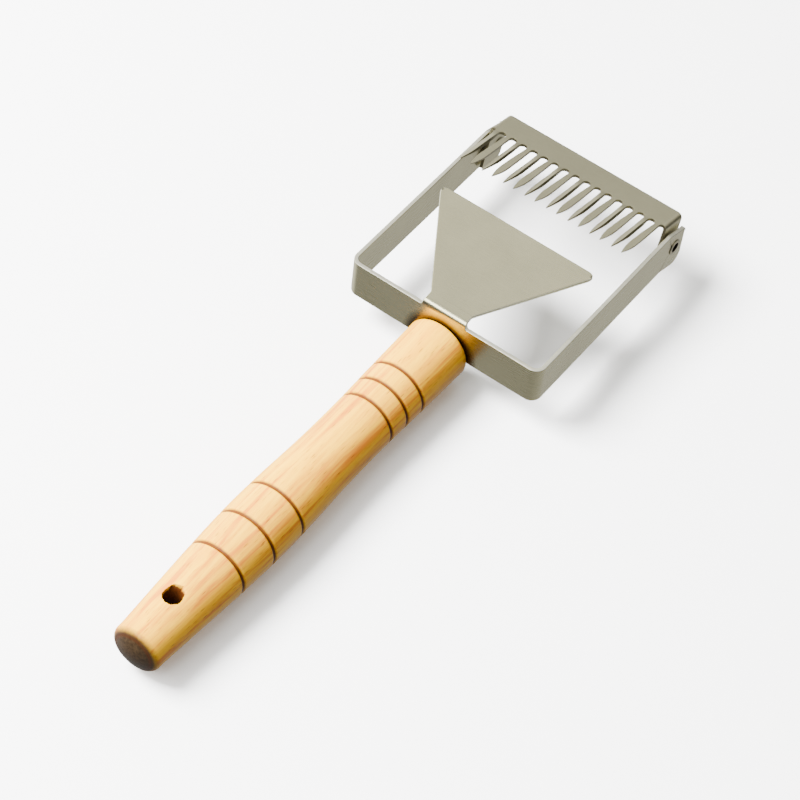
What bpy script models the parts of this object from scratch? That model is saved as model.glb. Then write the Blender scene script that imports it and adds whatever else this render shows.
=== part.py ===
"""Uncapping knife for honeycomb: a steel strap frame with a scraper plate, a needle comb that
swings on two hollow rivets, and a turned wooden handle held on by one screw.

Axes: +X to the right, +Y from the handle towards the comb, +Z up. All sizes are in metres.
"Tool coordinates" have y = 0 on the bar's outer face, where the handle seats, and z = 0 on the
strap's lower edge. An empty carries every part from there to the object's own origin, which is
the centre of its bounding box.
"""
import math

import bmesh
import bpy
from mathutils import Matrix, Vector

# ---- strap frame ----
FRAME_WIDTH = 0.0870            # over the outer faces of the two arms
STRAP_HEIGHT = 0.0172
STRAP_THICKNESS = 0.0017
STRAP_CORNER_RADIUS = 0.0045    # outer radius where the bar turns into an arm
ARM_LENGTH = 0.0893             # from the bar's outer face to where the top edge starts to drop
EAR_LENGTH = 0.0113             # the dropped end of the arm beyond that
EAR_DROP_ANGLE = math.radians(18)
EAR_CORNER_RADIUS = 0.0050
EAR_TOP_RADIUS = 0.0006
ARM_HEEL_SETBACK = 0.0036       # the lower edge starts to drop this much nearer the handle
ARM_HEEL_RADIUS = 0.0060

# ---- pivot ----
PIVOT_FROM_ARM_END = 0.0065
PIVOT_BELOW_TOP = 0.0095        # under the strap's top edge
RIVET_RADIUS = 0.00240
RIVET_BORE_RADIUS = 0.00208
RIVET_HOLE_CLEARANCE = 0.00015
RIVET_LIP_WIDTH = 0.0008
RIVET_LIP_THICKNESS = 0.00030
RIVET_LIP_GAP = 0.00010

# ---- scraper plate and its neck ----
NECK_HALF_WIDTH = 0.0102
NECK_TOP_HALF_WIDTH = 0.0096
NECK_BEND_RADIUS = 0.0032       # outer radius of the bend
PLATE_THICKNESS = 0.0017
PLATE_TILT = math.radians(6.8)
PLATE_FAR_FROM_ARM_END = 0.0528
PLATE_RISE = 0.0080             # its far edge stands this much over the strap's top edge
PLATE_SIDE_GAP = 0.0054         # between its far corners and the arms
PLATE_CORNER_RADIUS = 0.0023
PLATE_ROOT_Y = 0.0050           # where the straight flared edges start
PLATE_ROOT_HALF_WIDTH = 0.0095
PLATE_ROOT_RADIUS = 0.0010
NECK_FILLET_RADIUS = 0.0020

# ---- screw lug under the bar ----
LUG_BELOW_SCREW = 0.0074
LUG_HALF_WIDTH = 0.0095
LUG_CORNER_RADIUS = 0.0050

# ---- needle comb ----
COMB_SHEET = 0.0013
COMB_SIDE_CLEARANCE = 0.0007    # between a tab and its arm
COMB_BEND_RADIUS = 0.0022
COMB_SLOT_END_FROM_ARM_END = 0.0118
COMB_RISE = 0.0046              # the slot ends stand this much over the strap's top edge
COMB_TILT = math.radians(13.4)
COMB_BACK_WIDTH = 0.0126        # from the slot ends to the far edge
TOOTH_COUNT = 16
TOOTH_LENGTH = 0.0286
TOOTH_POINT_THICKNESS = 0.0004  # the underside is ground away towards the points
TOOTH_GRIND_FROM = 0.60         # share of the tooth's length where the grinding starts
TOOTH_ROOT_WIDTH = 0.0019
TOOTH_BELLY_WIDTH = 0.0027
TOOTH_BELLY_AT = 0.68           # share of the tooth's length
TOOTH_POINT_FULLNESS = 0.8      # under 1 makes the point rounder than an ellipse's end
TOOTH_SHORTER = 0.0006          # every other tooth is this much shorter
TAB_DEPTH = 0.0212
TAB_FRONT_SETBACK = 0.0002      # the tabs' front edges lie this far behind the slot ends
TAB_FRONT_RADIUS = 0.0015
TAB_BACK_RADIUS = 0.0040

# ---- handle ----
HANDLE_AXIS_Z = 0.0004
HANDLE_GAP = 0.0003             # between the handle's end grain and the bar
HANDLE_LENGTH = 0.1814
RIM_CHAMFER = 0.0004
HANDLE_OUTLINE = (              # (share of the length, radius) where the turner measures it
    (0.00, 0.01310), (0.16, 0.01258), (0.26, 0.01212), (0.34, 0.01206), (0.42, 0.01232),
    (0.52, 0.01302), (0.61, 0.01325), (0.70, 0.01278), (0.80, 0.01185), (0.96, 0.01010))
GROOVES = (0.151, 0.203, 0.255, 0.556, 0.646, 0.739)    # shares of the length
GROOVE_DEPTH = 0.0004
GROOVE_HALF_WIDTH = 0.0007
BUTT_DOME_HEIGHT = 0.0015
BUTT_ARRIS_RADIUS = 0.0030
BUTT_ARRIS_STEP = math.radians(20)
HANG_HOLE_FROM_BUTT = 0.0227
HANG_HOLE_RADIUS = 0.0035

# ---- handle screw and washer ----
SCREW_SHANK_RADIUS = 0.0020
SCREW_CLEARANCE = 0.0003
SCREW_DEPTH_IN_HANDLE = 0.0300
SCREW_POINT_LENGTH = 0.0040
SCREW_HEAD_RADIUS = 0.0038
SCREW_HEAD_HEIGHT = 0.0022
SCREW_RIM_SHARE = 0.25          # share of the head's height that is its straight rim
WASHER_RADIUS = 0.0048
WASHER_THICKNESS = 0.0010
SEAT_GAP = 0.0003
DRIVE_WIDTH = 0.0008
DRIVE_LENGTH = 0.0040
DRIVE_DEPTH = 0.0011

ARC_STEP = math.radians(9)      # facet size of rounded outlines
OVERCUT = 0.0010                # a trimming outline reaches this far past the sheet's edge
CUTTER_REACH = 0.0300           # and a cutter this far past the piece

HALF_WIDTH = FRAME_WIDTH / 2
ARM_INNER_X = HALF_WIDTH - STRAP_THICKNESS
ARM_END_Y = ARM_LENGTH + EAR_LENGTH
PLATE_FAR_Y = ARM_END_Y - PLATE_FAR_FROM_ARM_END
TAB_OUTER_X = ARM_INNER_X - COMB_SIDE_CLEARANCE
PIVOT_Y = ARM_END_Y - PIVOT_FROM_ARM_END
PIVOT_Z = STRAP_HEIGHT - PIVOT_BELOW_TOP
RIVET_HOLE_RADIUS = RIVET_RADIUS + RIVET_HOLE_CLEARANCE
PLATE_FAR_Z = STRAP_HEIGHT + PLATE_RISE
PLATE_FAR_HALF_WIDTH = ARM_INNER_X - PLATE_SIDE_GAP
LUG_BOTTOM_Z = HANDLE_AXIS_Z - LUG_BELOW_SCREW
COMB_SLOT_END_Y = ARM_END_Y - COMB_SLOT_END_FROM_ARM_END
COMB_SLOT_END_Z = STRAP_HEIGHT + COMB_RISE
TOOTH_PITCH = 2 * TAB_OUTER_X / (TOOTH_COUNT + 0.5)


def comb_point(along, height):
    """(y, z) of a point of the comb sheet: `along` from the slot ends, `height` over its top."""
    cos, sin = math.cos(COMB_TILT), math.sin(COMB_TILT)
    return (COMB_SLOT_END_Y + along * cos + height * sin,
            COMB_SLOT_END_Z - along * sin + height * cos)


# The origin is the centre of the object's box: rear end of the handle to the farthest of the
# arms and the comb, and underside of the handle to the tips of the long teeth.
FRONT_Y = max(ARM_END_Y, comb_point(COMB_BACK_WIDTH, 0)[0])
TOP_Z = max(comb_point(-TOOTH_LENGTH, 0)[1], PLATE_FAR_Z)
BOTTOM_Z = HANDLE_AXIS_Z - max(radius for _, radius in HANDLE_OUTLINE)
ORIGIN = Vector((0, (FRONT_Y - HANDLE_LENGTH) / 2, (TOP_Z + BOTTOM_Z) / 2))


# ---------------------------------------------------------------- scene and helpers
for old in list(bpy.data.objects):
    bpy.data.objects.remove(old, do_unlink=True)

parts = bpy.data.collections.new("uncapping_knife")
cutters = bpy.data.collections.new("cutters")
bpy.context.scene.collection.children.link(parts)
bpy.context.scene.collection.children.link(cutters)

tool = bpy.data.objects.new("tool_origin", None)
tool.location = -ORIGIN
parts.objects.link(tool)


def material(name, color, roughness, metallic):
    mat = bpy.data.materials.new(name)
    mat.use_nodes = True
    shader = mat.node_tree.nodes["Principled BSDF"]
    shader.inputs["Base Color"].default_value = (*color, 1)
    shader.inputs["Roughness"].default_value = roughness
    shader.inputs["Metallic"].default_value = metallic
    return mat


def add_part(name, mesh, mat, smooth_angle=None):
    """Names the finished mesh as a sub-part and hangs it on the tool's origin."""
    obj = bpy.data.objects.new(name, mesh)
    obj.data.materials.clear()
    obj.data.materials.append(mat)
    if smooth_angle is not None:
        mesh.shade_smooth()
        mesh.set_sharp_from_angle(angle=smooth_angle)
    parts.objects.link(obj)
    obj.parent = tool
    return obj


def rounded(corners):
    """Outline points from (u, v, radius) corners, each radius turned into an arc."""
    points = []
    count = len(corners)
    for index, (u, v, radius) in enumerate(corners):
        here = Vector((u, v))
        to_last = (Vector(corners[index - 1][:2]) - here).normalized()
        to_next = (Vector(corners[(index + 1) % count][:2]) - here).normalized()
        if radius <= 0:
            points.append(here)
            continue
        half = to_last.angle(to_next) / 2
        centre = here + (to_last + to_next).normalized() * radius / math.sin(half)
        start = here + to_last * radius / math.tan(half) - centre
        end = here + to_next * radius / math.tan(half) - centre
        sweep = start.angle_signed(end)
        steps = max(2, math.ceil(abs(sweep) / ARC_STEP))
        for step in range(steps + 1):
            turn = Matrix.Rotation(-sweep * step / steps, 2)
            points.append(centre + turn @ start)
    return points


def prism(name, points, half_depth, turn):
    """A closed flat outline extruded to both sides of its plane, as a mesh object."""
    curve = bpy.data.curves.new(name, "CURVE")
    curve.dimensions = "2D"
    curve.fill_mode = "BOTH"
    curve.extrude = half_depth
    spline = curve.splines.new("POLY")
    spline.points.add(len(points) - 1)
    for target, point in zip(spline.points, points):
        target.co = (point[0], point[1], 0, 1)
    spline.use_cyclic_u = True
    outline = bpy.data.objects.new(name + "_outline", curve)
    cutters.objects.link(outline)
    outline.matrix_world = turn
    bpy.context.view_layer.update()
    evaluated = outline.evaluated_get(bpy.context.evaluated_depsgraph_get())
    mesh = bpy.data.meshes.new_from_object(evaluated)
    weld_and_orient(mesh)
    solid = bpy.data.objects.new(name, mesh)
    cutters.objects.link(solid)
    solid.matrix_world = outline.matrix_world
    bpy.data.objects.remove(outline, do_unlink=True)
    return solid


def weld_and_orient(mesh):
    work = bmesh.new()
    work.from_mesh(mesh)
    bmesh.ops.remove_doubles(work, verts=work.verts, dist=1e-6)
    bmesh.ops.recalc_face_normals(work, faces=work.faces)
    work.to_mesh(mesh)
    work.free()


# A prism's outline lies in X-Y. These turn it to stand in the Y-Z or the X-Z plane.
LEVEL = Matrix.Identity(4)
ACROSS_X = Matrix(((0, 0, 1, 0), (1, 0, 0, 0), (0, 1, 0, 0), (0, 0, 0, 1)))
ACROSS_Y = Matrix(((1, 0, 0, 0), (0, 0, -1, 0), (0, 1, 0, 0), (0, 0, 0, 1)))


def combine(solid, tool_solid, operation):
    """Applies one exact Boolean and removes the second solid."""
    boolean = solid.modifiers.new(operation.lower(), "BOOLEAN")
    boolean.operation = operation
    boolean.solver = "EXACT"
    boolean.object = tool_solid
    bpy.context.view_layer.update()
    evaluated = solid.evaluated_get(bpy.context.evaluated_depsgraph_get())
    mesh = bpy.data.meshes.new_from_object(evaluated)
    solid.modifiers.clear()
    solid.data = mesh
    bpy.data.objects.remove(tool_solid, do_unlink=True)


def turned(name, profile, segments):
    """A solid of revolution about Y. The profile is (radius, y) pairs running towards -Y."""
    mesh = bpy.data.meshes.new(name)
    work = bmesh.new()
    verts = [work.verts.new((radius, 0, y)) for radius, y in profile]
    for first, second in zip(verts, verts[1:]):
        work.edges.new((first, second))
    work.to_mesh(mesh)
    work.free()
    solid = bpy.data.objects.new(name, mesh)
    cutters.objects.link(solid)
    screw = solid.modifiers.new("turn", "SCREW")
    screw.axis = "Z"
    screw.steps = segments
    screw.render_steps = segments
    screw.use_merge_vertices = True
    screw.merge_threshold = 1e-6
    bpy.context.view_layer.update()
    evaluated = solid.evaluated_get(bpy.context.evaluated_depsgraph_get())
    baked = bpy.data.meshes.new_from_object(evaluated)
    solid.modifiers.clear()
    baked.transform(Matrix.Rotation(-math.pi / 2, 4, "X"))
    weld_and_orient(baked)
    solid.data = baked
    return solid


def rod(name, radius, start, end, segments=40):
    """A cylinder between two points, used as a cutter."""
    axis = Vector(end) - Vector(start)
    work = bmesh.new()
    bmesh.ops.create_cone(work, cap_ends=True, segments=segments, radius1=radius,
                          radius2=radius, depth=axis.length)
    mesh = bpy.data.meshes.new(name)
    work.to_mesh(mesh)
    work.free()
    turn = axis.to_track_quat("Z", "Y").to_matrix().to_4x4()
    mesh.transform(Matrix.Translation((Vector(start) + Vector(end)) / 2) @ turn)
    solid = bpy.data.objects.new(name, mesh)
    cutters.objects.link(solid)
    return solid


def finish(solid, name, mat, smooth_angle=None):
    """Moves a built solid's mesh into tool coordinates and adds it as a sub-part."""
    mesh = solid.data
    mesh.transform(solid.matrix_world)
    bpy.data.objects.remove(solid, do_unlink=True)
    return add_part(name, mesh, mat, smooth_angle)


steel = material("satin_steel", (0.52, 0.51, 0.46), 0.38, 1.0)
comb_steel = material("comb_steel", (0.50, 0.49, 0.43), 0.42, 1.0)
rivet_steel = material("rivet_steel", (0.56, 0.55, 0.52), 0.35, 1.0)
screw_steel = material("screw_steel", (0.60, 0.60, 0.60), 0.30, 1.0)
wood = material("varnished_wood", (0.72, 0.42, 0.15), 0.35, 0.0)


# ---------------------------------------------------------------- strap frame
def strap():
    """The strap on edge: a U seen from above, cut to the arms' outline seen from the side."""
    past_end = ARM_END_Y + CUTTER_REACH
    inner_radius = STRAP_CORNER_RADIUS - STRAP_THICKNESS
    plan = rounded((
        (-HALF_WIDTH, past_end, 0), (-HALF_WIDTH, 0, STRAP_CORNER_RADIUS),
        (HALF_WIDTH, 0, STRAP_CORNER_RADIUS), (HALF_WIDTH, past_end, 0),
        (ARM_INNER_X, past_end, 0), (ARM_INNER_X, STRAP_THICKNESS, inner_radius),
        (-ARM_INNER_X, STRAP_THICKNESS, inner_radius), (-ARM_INNER_X, past_end, 0)))
    solid = prism("strap", plan, STRAP_HEIGHT * 2, LEVEL)
    drop = math.tan(EAR_DROP_ANGLE)
    heel_y = ARM_LENGTH - ARM_HEEL_SETBACK
    side = rounded((
        (-OVERCUT, 0, 0), (heel_y, 0, ARM_HEEL_RADIUS),
        (ARM_END_Y - EAR_TOP_RADIUS, -(ARM_END_Y - heel_y) * drop, EAR_CORNER_RADIUS),
        (ARM_END_Y, STRAP_HEIGHT - EAR_LENGTH * drop, EAR_TOP_RADIUS),
        (ARM_LENGTH, STRAP_HEIGHT, 0), (-OVERCUT, STRAP_HEIGHT, 0)))
    combine(solid, prism("side", side, FRAME_WIDTH, ACROSS_X), "INTERSECT")
    return solid


def plate():
    """The sheet tongue that grows out of the bar: neck, bend and flared scraper plate."""
    cos, sin = math.cos(PLATE_TILT), math.sin(PLATE_TILT)
    slope = math.tan(PLATE_TILT)
    # the plate's top surface and the neck's outer face would meet here without the bend
    corner_z = PLATE_FAR_Z - PLATE_FAR_Y * slope
    side = rounded((
        (0, STRAP_HEIGHT / 2, 0), (PLATE_THICKNESS, STRAP_HEIGHT / 2, 0),
        (PLATE_THICKNESS, corner_z + PLATE_THICKNESS * (slope - 1 / cos),
         NECK_BEND_RADIUS - PLATE_THICKNESS),
        (PLATE_FAR_Y + PLATE_THICKNESS * sin, PLATE_FAR_Z - PLATE_THICKNESS * cos, 0),
        (PLATE_FAR_Y, PLATE_FAR_Z, 0), (0, corner_z, NECK_BEND_RADIUS)))
    solid = prism("plate", side, FRAME_WIDTH, ACROSS_X)
    right = ((NECK_HALF_WIDTH, -OVERCUT, 0),
             (NECK_HALF_WIDTH, PLATE_THICKNESS, NECK_FILLET_RADIUS),
             (NECK_TOP_HALF_WIDTH, NECK_BEND_RADIUS, NECK_FILLET_RADIUS),
             (PLATE_ROOT_HALF_WIDTH, PLATE_ROOT_Y, PLATE_ROOT_RADIUS),
             (PLATE_FAR_HALF_WIDTH, PLATE_FAR_Y, PLATE_CORNER_RADIUS))
    left = [(-x, y, radius) for x, y, radius in reversed(right)]
    combine(solid, prism("plan", rounded((*right, *left)), FRAME_WIDTH, LEVEL), "INTERSECT")
    return solid


def lug():
    """The rounded tab under the middle of the bar that the handle's screw passes through."""
    outline = rounded((
        (-LUG_HALF_WIDTH, STRAP_HEIGHT / 3, 0), (-LUG_HALF_WIDTH, LUG_BOTTOM_Z, LUG_CORNER_RADIUS),
        (LUG_HALF_WIDTH, LUG_BOTTOM_Z, LUG_CORNER_RADIUS), (LUG_HALF_WIDTH, STRAP_HEIGHT / 3, 0)))
    middle = Matrix.Translation((0, STRAP_THICKNESS / 2, 0))
    return prism("lug", outline, STRAP_THICKNESS / 2, middle @ ACROSS_Y)


def build_frame():
    solid = strap()
    combine(solid, plate(), "UNION")
    combine(solid, lug(), "UNION")
    pivot_hole = rod("pivot_hole", RIVET_HOLE_RADIUS, (-FRAME_WIDTH, PIVOT_Y, PIVOT_Z),
                     (FRAME_WIDTH, PIVOT_Y, PIVOT_Z))
    combine(solid, pivot_hole, "DIFFERENCE")
    screw_hole = rod("screw_hole", SCREW_SHANK_RADIUS + SCREW_CLEARANCE,
                     (0, -CUTTER_REACH, HANDLE_AXIS_Z), (0, CUTTER_REACH, HANDLE_AXIS_Z))
    combine(solid, screw_hole, "DIFFERENCE")
    finish(solid, "frame", steel, math.radians(30))


# ---------------------------------------------------------------- needle comb
def comb_frame():
    """Carries comb coordinates (x, along from the slot ends, height over the sheet) to the tool."""
    place = Matrix.Translation((0, COMB_SLOT_END_Y, COMB_SLOT_END_Z))
    return place @ Matrix.Rotation(-COMB_TILT, 4, "X")


def tooth_outline(start, length):
    """(half width, distance) pairs of a tooth from the slot's rounded end out to the tip."""
    steps = 6
    belly = length * TOOTH_BELLY_AT
    swell = (TOOTH_BELLY_WIDTH - TOOTH_ROOT_WIDTH) / 2
    points = []
    for step in range(1, steps + 1):
        share = step / steps
        points.append((TOOTH_ROOT_WIDTH / 2 + swell * math.sin(share * math.pi / 2),
                       start + (belly - start) * share))
    for step in range(1, steps):
        share = step / steps
        narrowing = math.cos(share * math.pi / 2) ** TOOTH_POINT_FULLNESS
        points.append((TOOTH_BELLY_WIDTH / 2 * narrowing, belly + (length - belly) * share))
    points.append((0, length))
    return points


def comb_outline():
    """The slots and teeth seen from above. Its back and sides reach past the sheet's."""
    edge = TAB_OUTER_X + OVERCUT
    back = COMB_BACK_WIDTH + OVERCUT
    slot_radius = (TOOTH_PITCH - TOOTH_ROOT_WIDTH) / 2
    arc_steps = 8
    points = [Vector((edge, 0)), Vector((edge, back)), Vector((-edge, back)),
              Vector((-edge, 0))]
    for slot in range(TOOTH_COUNT + 1):
        slot_x = (slot - TOOTH_COUNT / 2) * TOOTH_PITCH
        if slot > 0:
            length = TOOTH_LENGTH - (TOOTH_SHORTER if slot % 2 == 1 else 0)
            tooth_x = slot_x - TOOTH_PITCH / 2
            outline = tooth_outline(slot_radius, length)
            points += [Vector((tooth_x - half, -along)) for half, along in outline]
            points += [Vector((tooth_x + half, -along)) for half, along in outline[-2::-1]]
        # the two outermost slots run on into the tabs' front edges, so each is half an arc
        first = arc_steps // 2 if slot == 0 else 0
        last = arc_steps // 2 if slot == TOOTH_COUNT else arc_steps
        for step in range(first, last + 1):
            turn = math.pi * (1 - step / arc_steps)
            points.append(Vector((slot_x + slot_radius * math.cos(turn),
                                  slot_radius * (math.sin(turn) - 1))))
    return points


def build_comb():
    """One folded sheet: a channel section across the tool, cut to the comb's plan and sides."""
    place = comb_frame()
    inner = TAB_OUTER_X - COMB_SHEET
    inner_radius = COMB_BEND_RADIUS - COMB_SHEET
    channel = rounded((
        (-TAB_OUTER_X, 0, COMB_BEND_RADIUS), (-TAB_OUTER_X, -TAB_DEPTH - OVERCUT, 0),
        (-inner, -TAB_DEPTH - OVERCUT, 0), (-inner, -COMB_SHEET, inner_radius),
        (inner, -COMB_SHEET, inner_radius), (inner, -TAB_DEPTH - OVERCUT, 0),
        (TAB_OUTER_X, -TAB_DEPTH - OVERCUT, 0), (TAB_OUTER_X, 0, COMB_BEND_RADIUS)))
    solid = prism("comb", channel, TOOTH_LENGTH * 2, place @ ACROSS_Y)
    # seen from the side: the tabs end at the slot ends, the flat sheet runs on to the tips
    flat = -COMB_BEND_RADIUS
    grind_start = TOOTH_LENGTH * TOOTH_GRIND_FROM
    grind_slope = (COMB_SHEET - TOOTH_POINT_THICKNESS) / (TOOTH_LENGTH - grind_start)
    past = TOOTH_LENGTH + OVERCUT
    past_height = (past - grind_start) * grind_slope - COMB_SHEET
    side = rounded((
        (TAB_FRONT_SETBACK, -TAB_DEPTH, TAB_FRONT_RADIUS),
        (COMB_BACK_WIDTH, -TAB_DEPTH, TAB_BACK_RADIUS),
        (COMB_BACK_WIDTH, OVERCUT, 0), (-past, OVERCUT, 0),
        (-past, past_height, 0), (-grind_start, -COMB_SHEET, 0),
        (-grind_start, flat, 0), (TAB_FRONT_SETBACK, flat, 0)))
    combine(solid, prism("comb_side", side, FRAME_WIDTH, place @ ACROSS_X), "INTERSECT")
    plan = prism("comb_plan", comb_outline(), TAB_DEPTH * 2, place)
    combine(solid, plan, "INTERSECT")
    pivot_hole = rod("tab_hole", RIVET_HOLE_RADIUS, (-FRAME_WIDTH, PIVOT_Y, PIVOT_Z),
                     (FRAME_WIDTH, PIVOT_Y, PIVOT_Z))
    combine(solid, pivot_hole, "DIFFERENCE")
    comb = finish(solid, "needle_comb", comb_steel, math.radians(30))
    pivot = Vector((0, PIVOT_Y, PIVOT_Z))
    comb.data.transform(Matrix.Translation(-pivot))
    comb.location = pivot


# ---------------------------------------------------------------- pivot rivets
def build_rivets():
    """A hollow rivet on each side, its lips turned over the arm's and the tab's faces."""
    outer_lip = HALF_WIDTH + RIVET_LIP_GAP
    inner_lip = TAB_OUTER_X - COMB_SHEET - RIVET_LIP_GAP
    lip_radius = RIVET_HOLE_RADIUS + RIVET_LIP_WIDTH
    profile = (
        (RIVET_BORE_RADIUS, outer_lip + RIVET_LIP_THICKNESS),
        (lip_radius, outer_lip + RIVET_LIP_THICKNESS), (lip_radius, outer_lip),
        (RIVET_RADIUS, outer_lip), (RIVET_RADIUS, inner_lip), (lip_radius, inner_lip),
        (lip_radius, inner_lip - RIVET_LIP_THICKNESS),
        (RIVET_BORE_RADIUS, inner_lip - RIVET_LIP_THICKNESS),
        (RIVET_BORE_RADIUS, outer_lip + RIVET_LIP_THICKNESS))
    for name, turn in (("pivot_rivet_right", -math.pi / 2), ("pivot_rivet_left", math.pi / 2)):
        solid = turned(name, profile, 40)
        solid.data.transform(Matrix.Rotation(turn, 4, "Z"))
        rivet = finish(solid, name, rivet_steel, math.radians(40))
        rivet.location = (0, PIVOT_Y, PIVOT_Z)


# ---------------------------------------------------------------- wooden handle
def handle_radius(share):
    """Radius at a share of the length: a smooth (Catmull-Rom) curve through the outline."""
    outline = HANDLE_OUTLINE
    span = max(0, sum(start <= share for start, _ in outline) - 1)
    span = min(span, len(outline) - 2)
    before, after = outline[max(span - 1, 0)], outline[min(span + 2, len(outline) - 1)]
    (x1, r1), (x2, r2) = outline[span], outline[span + 1]
    slope1 = (r2 - before[1]) / (x2 - before[0])
    slope2 = (after[1] - r1) / (after[0] - x1)
    t = (share - x1) / (x2 - x1)
    return ((2 * t ** 3 - 3 * t ** 2 + 1) * r1 + (t ** 3 - 2 * t ** 2 + t) * (x2 - x1) * slope1
            + (3 * t ** 2 - 2 * t ** 3) * r2 + (t ** 3 - t ** 2) * (x2 - x1) * slope2)


def handle_profile():
    """(radius, y) of the turned outline from the bar to the butt, with its cut grooves."""
    front = -HANDLE_GAP
    profile = [(0, front), (handle_radius(0) - RIM_CHAMFER, front)]
    stations = 18
    last_share = HANDLE_OUTLINE[-1][0]
    plain = [last_share * station / stations for station in range(1, stations + 1)]
    keep_off = 0.012
    plain = [share for share in plain if min(abs(share - cut) for cut in GROOVES) > keep_off]
    profile.append((handle_radius(0), front - RIM_CHAMFER))
    for share in sorted((*plain, *GROOVES)):
        y, radius = -share * HANDLE_LENGTH, handle_radius(share)
        if share in GROOVES:
            profile += [(radius, y + GROOVE_HALF_WIDTH),
                        (radius - GROOVE_DEPTH, y + GROOVE_HALF_WIDTH / 3),
                        (radius - GROOVE_DEPTH, y - GROOVE_HALF_WIDTH / 3),
                        (radius, y - GROOVE_HALF_WIDTH)]
        else:
            profile.append((radius, y))
    # a quarter round arris and a shallow dome close the butt
    ring_y = -HANDLE_LENGTH + BUTT_DOME_HEIGHT
    arris_x = handle_radius(last_share) - BUTT_ARRIS_RADIUS
    for step in range(1, 5):
        turn = BUTT_ARRIS_STEP * step
        profile.append((arris_x + BUTT_ARRIS_RADIUS * math.cos(turn),
                        ring_y + BUTT_ARRIS_RADIUS * (1 - math.sin(turn))))
    dome_steps = 4
    dome_radius = profile[-1][0]
    for step in range(1, dome_steps + 1):
        share = step / dome_steps
        profile.append((dome_radius * (1 - share),
                        ring_y - BUTT_DOME_HEIGHT * (1 - (1 - share) ** 2)))
    return profile


def build_handle():
    solid = turned("handle", handle_profile(), 48)
    hang_y = -HANDLE_LENGTH + HANG_HOLE_FROM_BUTT
    combine(solid, rod("hang_hole", HANG_HOLE_RADIUS, (0, hang_y, -CUTTER_REACH),
                       (0, hang_y, CUTTER_REACH)), "DIFFERENCE")
    combine(solid, rod("screw_bore", SCREW_SHANK_RADIUS + SCREW_CLEARANCE, (0, CUTTER_REACH, 0),
                       (0, -SCREW_DEPTH_IN_HANDLE - OVERCUT, 0), 24), "DIFFERENCE")
    handle = finish(solid, "handle", wood, math.radians(35))
    handle.location = (0, 0, HANDLE_AXIS_Z)


# ---------------------------------------------------------------- handle screw and washer
def build_screw():
    washer_near = STRAP_THICKNESS + SEAT_GAP
    washer_far = washer_near + WASHER_THICKNESS
    bore = SCREW_SHANK_RADIUS + SCREW_CLEARANCE
    ring = turned("washer", ((bore, washer_far), (WASHER_RADIUS, washer_far),
                             (WASHER_RADIUS, washer_near), (bore, washer_near),
                             (bore, washer_far)), 40)
    washer = finish(ring, "screw_washer", screw_steel, math.radians(40))
    washer.location = (0, 0, HANDLE_AXIS_Z)
    head = washer_far + SEAT_GAP
    top = head + SCREW_HEAD_HEIGHT
    rim_height = SCREW_HEAD_HEIGHT * SCREW_RIM_SHARE
    dome = []
    for step in range(7):
        turn = math.radians(15 * step)
        dome.append((SCREW_HEAD_RADIUS * math.sin(turn),
                     head + rim_height + (SCREW_HEAD_HEIGHT - rim_height) * math.cos(turn)))
    tip = -SCREW_DEPTH_IN_HANDLE
    solid = turned("screw", (*dome, (SCREW_HEAD_RADIUS, head), (SCREW_SHANK_RADIUS, head),
                             (SCREW_SHANK_RADIUS, tip + SCREW_POINT_LENGTH), (0, tip)), 32)
    for long_axis in (0, 1):
        size = [DRIVE_WIDTH, DRIVE_DEPTH * 2, DRIVE_WIDTH]
        size[2 * long_axis] = DRIVE_LENGTH
        work = bmesh.new()
        bmesh.ops.create_cube(work, size=1)
        mesh = bpy.data.meshes.new("drive")
        work.to_mesh(mesh)
        work.free()
        mesh.transform(Matrix.Translation((0, top, 0)) @ Matrix.Diagonal((*size, 1)))
        slot = bpy.data.objects.new("drive", mesh)
        cutters.objects.link(slot)
        combine(solid, slot, "DIFFERENCE")
    screw = finish(solid, "handle_screw", screw_steel, math.radians(40))
    screw.location = (0, 0, HANDLE_AXIS_Z)


build_frame()
build_comb()
build_rivets()
build_handle()
build_screw()
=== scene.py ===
"""An uncapping knife for honeycomb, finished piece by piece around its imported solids: a folded
steel strap frame with a scraper plate, a needle comb that swings on two hollow rivets, and a
turned, varnished wooden handle held by one screw. Metres; +Y from the handle to the comb.
"""
import math

import bmesh
import bpy
from mathutils import Matrix, Vector, noise


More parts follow.
